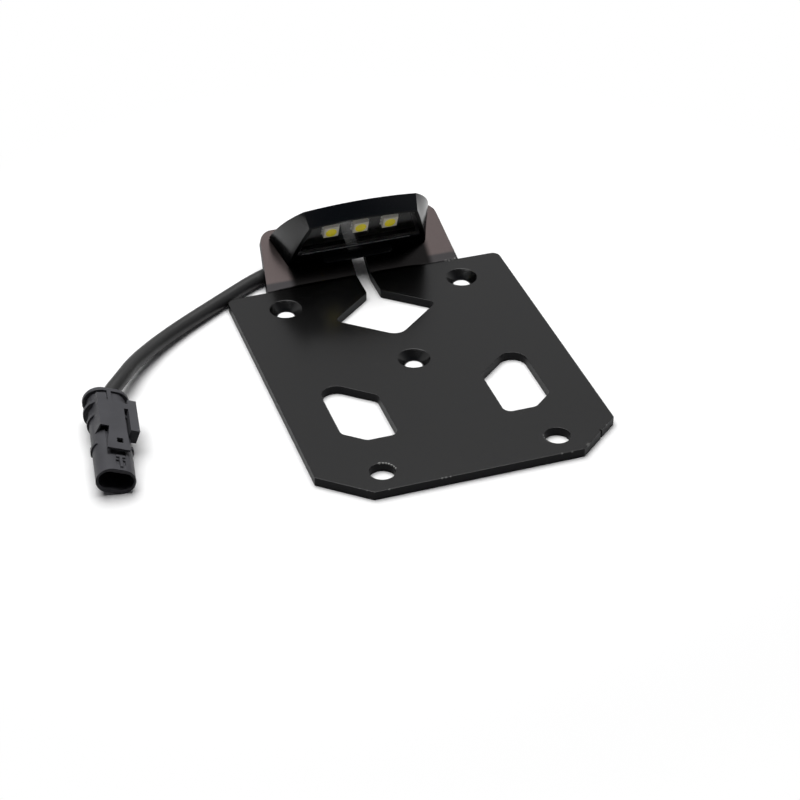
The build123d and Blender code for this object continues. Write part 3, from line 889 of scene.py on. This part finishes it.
@dataclass
class ShadeTongue:
    """A thin black tongue laid on the flange in front of the lamp's foot, over the top of the slot, as
    painted shade.

    Its front and back are distances up the flange, and it is sunk from the foot's point to the flange's
    face.
    """

    sunk: float = 0.03 * MM
    front: float = 5.75 * MM
    back: float = 7.95 * MM
    width: float = 24.0 * MM
    thickness: float = 0.52 * MM
    corner: float = 1.6 * MM
    rounding: float = 0.2 * MM

    def build(self, wardrobe: Wardrobe) -> bpy.types.Object:
        """Makes the tongue from a flat bar, with its front corners and top edges rounded.

        Args:
            wardrobe: Where its look comes from.

        Returns:
            The tongue.
        """
        bar = Bar("shade_tongue", (self.width, self.back - self.front, self.thickness))
        bar.round_off(self.is_front_corner, self.corner)
        bar.round_off(self.is_top, self.rounding)
        middle = Vector((0.0, (self.front + self.back) / 2, self.thickness / 2))
        bar.seat(Vector(FLANGE_FOOT) - Vector((0.0, 0.0, self.sunk)), FLANGE_TILT, middle)
        # Painted shade: the tongue's black stands in for the shade in front of the lamp.
        wardrobe.dress(bar.piece, Look.LAMP)
        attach(bar.piece, BODY)
        return bar.piece

    @staticmethod
    def is_front_corner(start: Vector, end: Vector) -> bool:
        """Tells whether an edge is one of the two upright ones at the tongue's front."""
        return max(start.y, end.y) < 0 and start.x == end.x

    @staticmethod
    def is_top(start: Vector, end: Vector) -> bool:
        """Tells whether an edge lies on the tongue's top."""
        return min(start.z, end.z) > 0


@dataclass
class Lead:
    """The lamp's lead: it leaves the flange, lies on the floor and rises to its connector.

    Its route is in millimetres.
    """

    diameter: float = 4.8 * MM
    length: float = 128.6 * MM
    sides: int = 8
    order: int = 3
    steps: int = 24
    route: tuple[Place, ...] = (
        (0.0, 66.407, 8.404),
        (0.0, 69.907, 2.691),
        (-11.7, 69.5, 2.45),
        (-32.2, 62.3, 2.45),
        (-48.0, 52.2, 2.45),
        (-69.5, 37.5, 2.95),
        (-83.3, 23.7, 4.9),
        (-89.7, 13.8, 6.4),
        (-95.9, 5.9, 6.5),
        (-97.268, 2.083, 6.277),
    )
    far_pieces: tuple[str, ...] = (
        "connector_housing",
        "connector_rear_cap",
        "wire_seal",
        "terminal_carrier",
        "connector_terminals",
    )

    def build(self, wardrobe: Wardrobe, standing_for: dict[str, bpy.types.Object]) -> bpy.types.Object:
        """Makes the lead as one smooth curve.

        Args:
            wardrobe: Where its look comes from.
            standing_for: Pieces that stand for CAD nodes, by node.

        Returns:
            The lead.
        """
        points = [tuple(c * MM for c in p) for p in self.route]
        line = bpy.data.curves.new("lead", "CURVE")
        line.dimensions = "3D"
        spline = line.splines.new("NURBS")
        spline.points.add(len(points) - 1)
        for control, place in zip(spline.points, points):
            control.co = (*place, 1.0)
        spline.order_u = self.order
        spline.use_endpoint_u = True
        spline.resolution_u = self.steps
        line.bevel_depth = self.diameter / 2
        line.bevel_resolution = self.sides
        line.use_fill_caps = True
        lead = bpy.data.objects.new("lead", line)
        bpy.context.scene.collection.objects.link(lead)
        wardrobe.dress(lead, Look.SHEATH)
        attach(lead, BODY)
        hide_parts("cable_sheath")
        pieces = [standing_for.get(name, frame["nodes"][name]) for name in self.far_pieces]
        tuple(points[0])
        return lead


@dataclass(frozen=True)
class View:
    """Camera of the reference view, found from the plate's edges and holes. Angles are in degrees."""

    position: Place = (-179.71 * MM, -524.88 * MM, 384.13 * MM)
    azimuth: float = -18.451
    elevation: float = 35.606
    roll: float = -0.128
    lens: float = 96.82
    sensor: float = 36.0
    nearest: float = 10.0 * MM

    def build(self) -> None:
        """Places the camera."""
        turn, rise, roll = radians(self.azimuth), radians(self.elevation), radians(self.roll)
        back = Vector((sin(turn) * cos(rise), -cos(turn) * cos(rise), sin(rise)))
        level = Vector((cos(turn), sin(turn), 0.0))
        upright = back.cross(level)
        right = cos(roll) * level + sin(roll) * upright
        up = cos(roll) * upright - sin(roll) * level
        camera = bpy.data.cameras.new("camera")
        camera.lens = self.lens
        camera.sensor_width = self.sensor
        camera.clip_start = self.nearest
        stand = bpy.data.objects.new("camera", camera)
        aim = Matrix((right, up, back)).transposed().to_4x4()
        stand.matrix_world = Matrix.Translation(self.position) @ aim
        bpy.context.scene.collection.objects.link(stand)
        bpy.context.scene.camera = stand


@dataclass(frozen=True)
class Studio:
    """White floor, a pale room that is dim overhead and on the viewer's side, and one soft light overhead.

    Each span of the room is of a ray's direction: its part along Z for a height, along Y for the far side,
    and along X for the right.
    """

    floor_size: float = 6.0
    low_colour: Colour = (0.45, 0.45, 0.45)
    far_colour: Colour = (0.55, 0.55, 0.555)
    far_height: Span = (0.16, 0.36)
    far_side: Span = (-0.5, 0.35)
    near_colour: Colour = (0.05, 0.065, 0.09)
    right_colour: Colour = (0.16, 0.17, 0.19)
    right_side: Span = (0.2, 0.6)
    band_colour: Colour = (1.0, 1.0, 1.0)
    band_height: Span = (0.7, 0.5)
    top_colour: Colour = (0.08, 0.08, 0.085)
    top_height: Span = (0.62, 0.78)
    room_dim: float = 0.2
    light_place: Place = (-0.07, 0.3, 1.1)
    light_size: Span = (1.1, 1.1)
    light_watts: float = 19.0

    def build(self, wardrobe: Wardrobe) -> None:
        """Makes the floor, the room and the light.

        Args:
            wardrobe: Where the floor's look comes from.
        """
        bpy.context.scene.view_settings.view_transform = "Standard"
        self.floor(wardrobe)
        self.room()
        self.light()

    def floor(self, wardrobe: Wardrobe) -> None:
        """Lays the floor under the bracket.

        Args:
            wardrobe: Where its look comes from.
        """
        bpy.ops.object.select_all(action="DESELECT")
        bpy.ops.mesh.primitive_plane_add(size=self.floor_size)
        floor = bpy.context.active_object
        floor.name = "floor"
        wardrobe.dress(floor, Look.PAPER)
        floor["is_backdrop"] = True

    def room(self) -> None:
        """Lights the world: pale beyond the bracket, dim overhead and on the viewer's side.

        Rays through the lens see a bright band low on the viewer's side, and the light that the room throws
        on the bracket is less than what is seen of it.
        """
        world = bpy.data.worlds.new("room")
        world.use_nodes = True
        world.node_tree.nodes.clear()
        wiring = Wiring(world.node_tree)
        way = wiring.axes(wiring.place("Generated"))
        far = wiring.mix(wiring.ramp(way["Z"], self.far_height), self.low_colour, self.far_colour)
        near = wiring.mix(wiring.ramp(way["X"], self.right_side), self.near_colour, self.right_colour)
        through = wiring.path()["Is Transmission Ray"]
        band = wiring.math("MULTIPLY", wiring.ramp(way["Z"], self.band_height), through)
        near = wiring.mix(band, near, self.band_colour)
        colour = wiring.mix(wiring.ramp(way["Y"], self.far_side), near, far)
        colour = wiring.mix(wiring.ramp(way["Z"], self.top_height), colour, self.top_colour)
        strength = wiring.ramp(wiring.seen(), (0.0, 1.0), self.room_dim)
        shade = wiring.node("ShaderNodeBackground", {"Color": colour, "Strength": strength})
        wiring.node("ShaderNodeOutputWorld", {"Surface": shade.outputs[0]})
        bpy.context.scene.world = world

    def light(self) -> None:
        """Hangs the soft light overhead."""
        lamp = bpy.data.lights.new("soft light", "AREA")
        lamp.shape = "RECTANGLE"
        lamp.size, lamp.size_y = self.light_size
        lamp.energy = self.light_watts
        hung = bpy.data.objects.new("soft light", lamp)
        hung.location = self.light_place
        bpy.context.scene.collection.objects.link(hung)


def write_sizes(cad_box: tuple[Vector, Vector]) -> None:
    """Gathers the CAD box and the dressed box side by side, without writing them.

    Args:
        cad_box: The least and greatest corners of the CAD model.
    """
    boxes = {"cad": cad_box, "visual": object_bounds()}
    {name: [list(corner) for corner in box] for name, box in boxes.items()}


def main() -> None:
    """Dresses the bracket and sets up the studio."""
    logging.basicConfig(level=logging.INFO, format="%(message)s")
    cad_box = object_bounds()
    View().build()
    wardrobe = Wardrobe()
    standing_for: dict[str, bpy.types.Object] = {}
    for node, width in EDGE_WIDTHS.items():
        standing_for[node] = SoftEdges(node, width).build()
        log.info("rounded %s: %d faces", node, len(standing_for[node].data.polygons))
    for node, look in NODE_LOOKS.items():
        wardrobe.dress(standing_for.get(node, frame["nodes"][node]), look)
        log.info("dressed %s in %s", node, look.value.name)
    bead = LensGlintBead().build(wardrobe)
    log.info("ran %s", bead.name)
    tongue = ShadeTongue().build(wardrobe)
    log.info("seated %s", tongue.name)
    lead = Lead().build(wardrobe, standing_for)
    log.info("laid %s", lead.name)
    Studio().build(wardrobe)
    write_sizes(cad_box)


if __name__ == "__main__":
    main()
